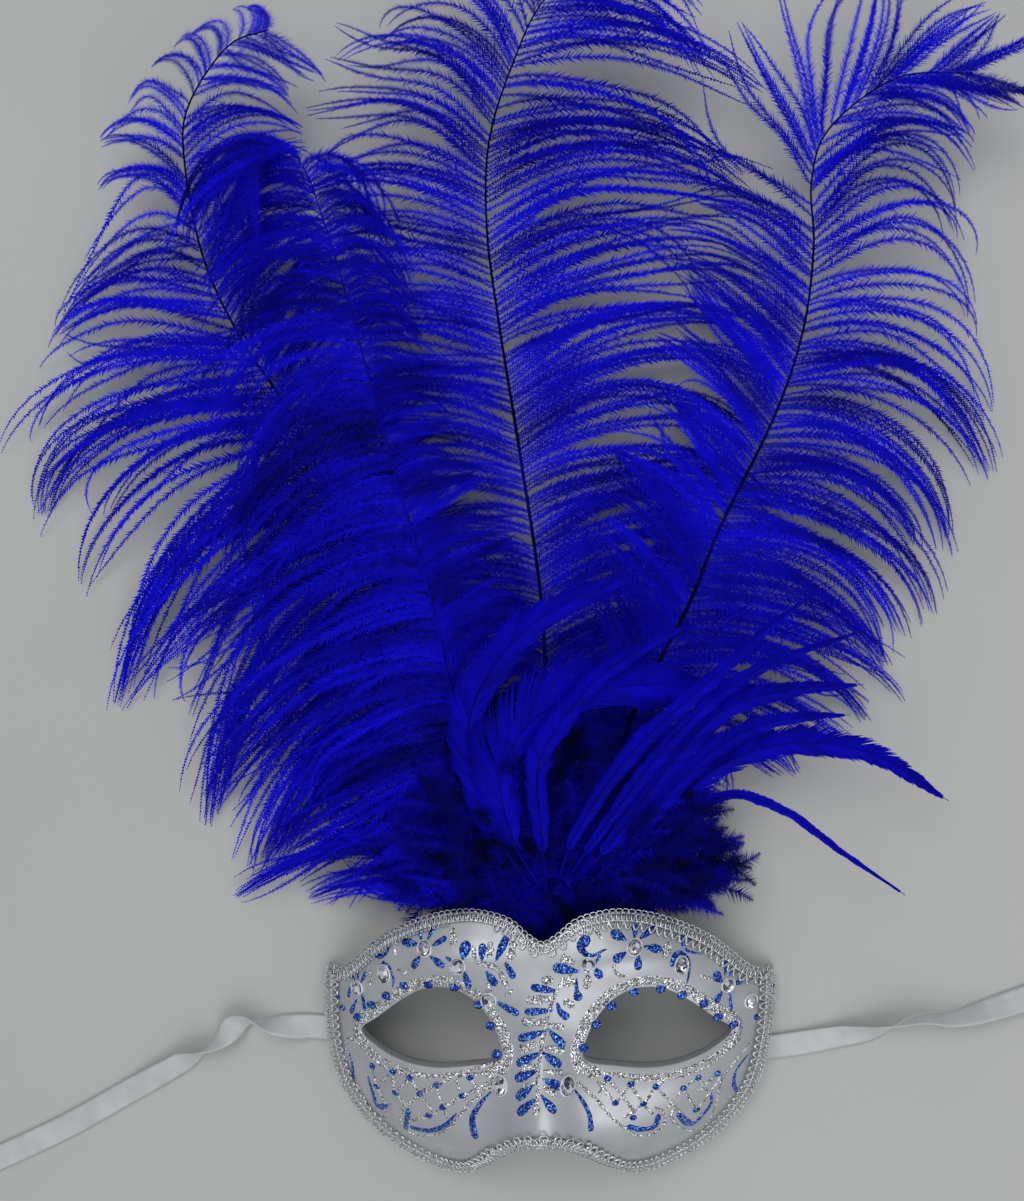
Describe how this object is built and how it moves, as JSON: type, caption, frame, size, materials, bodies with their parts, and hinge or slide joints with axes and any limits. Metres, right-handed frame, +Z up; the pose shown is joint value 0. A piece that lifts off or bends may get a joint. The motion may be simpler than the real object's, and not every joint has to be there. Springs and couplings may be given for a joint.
{
  "type": "masquerade mask",
  "caption": "Half face masquerade mask with a braided edge, cut stones, ribbon ties and a tall spray of plumes and hackles behind the forehead.",
  "frame": {"origin": "on the surface that the mask lies on, under the middle of the mask and its feathers, with the ribbon ties left out", "axes": "+Z up out of the face, +Y from the nose side up the forehead towards the plume tips, +X to the right of the face as seen from the front"},
  "size_m": [0.4526, 0.5247, 0.0577],
  "materials": {
    "shell": "pearl silver, satin, with blue and silver glitter ornament",
    "braid": "silver metallic thread",
    "stone": "clear, faceted, foil backed",
    "ribbon": "white satin",
    "plume": "dyed ostrich feather",
    "hackle": "dyed hackle feather",
    "marabou": "dyed down"
  },
  "bodies": {
    "root": {"mask_shell": "shell", "edge_braid": "braid", "stone_flower_left": "stone", "stone_bud_left": "stone", "stone_oval_left": "stone", "stone_spray_left": "stone", "stone_corner_left": "stone", "stone_cheek_left": "stone", "stone_flower_right": "stone", "stone_bud_right": "stone", "stone_oval_right": "stone", "stone_spray_right": "stone", "stone_temple_right": "stone", "stone_cheek_right": "stone", "ribbon_left": "ribbon", "ribbon_right": "ribbon", "plume_left": "plume", "plume_centre": "plume", "plume_right": "plume", "plume_curled": "plume", "hackle_long": "hackle", "hackle_broad": "hackle", "hackle_mid": "hackle", "hackle_spike": "hackle", "hackle_dart": "hackle", "hackle_blade": "hackle", "hackle_side": "hackle", "hackle_droop": "hackle", "hackle_thin": "hackle", "marabou_tuft": "marabou"}
  },
  "joints": []
}
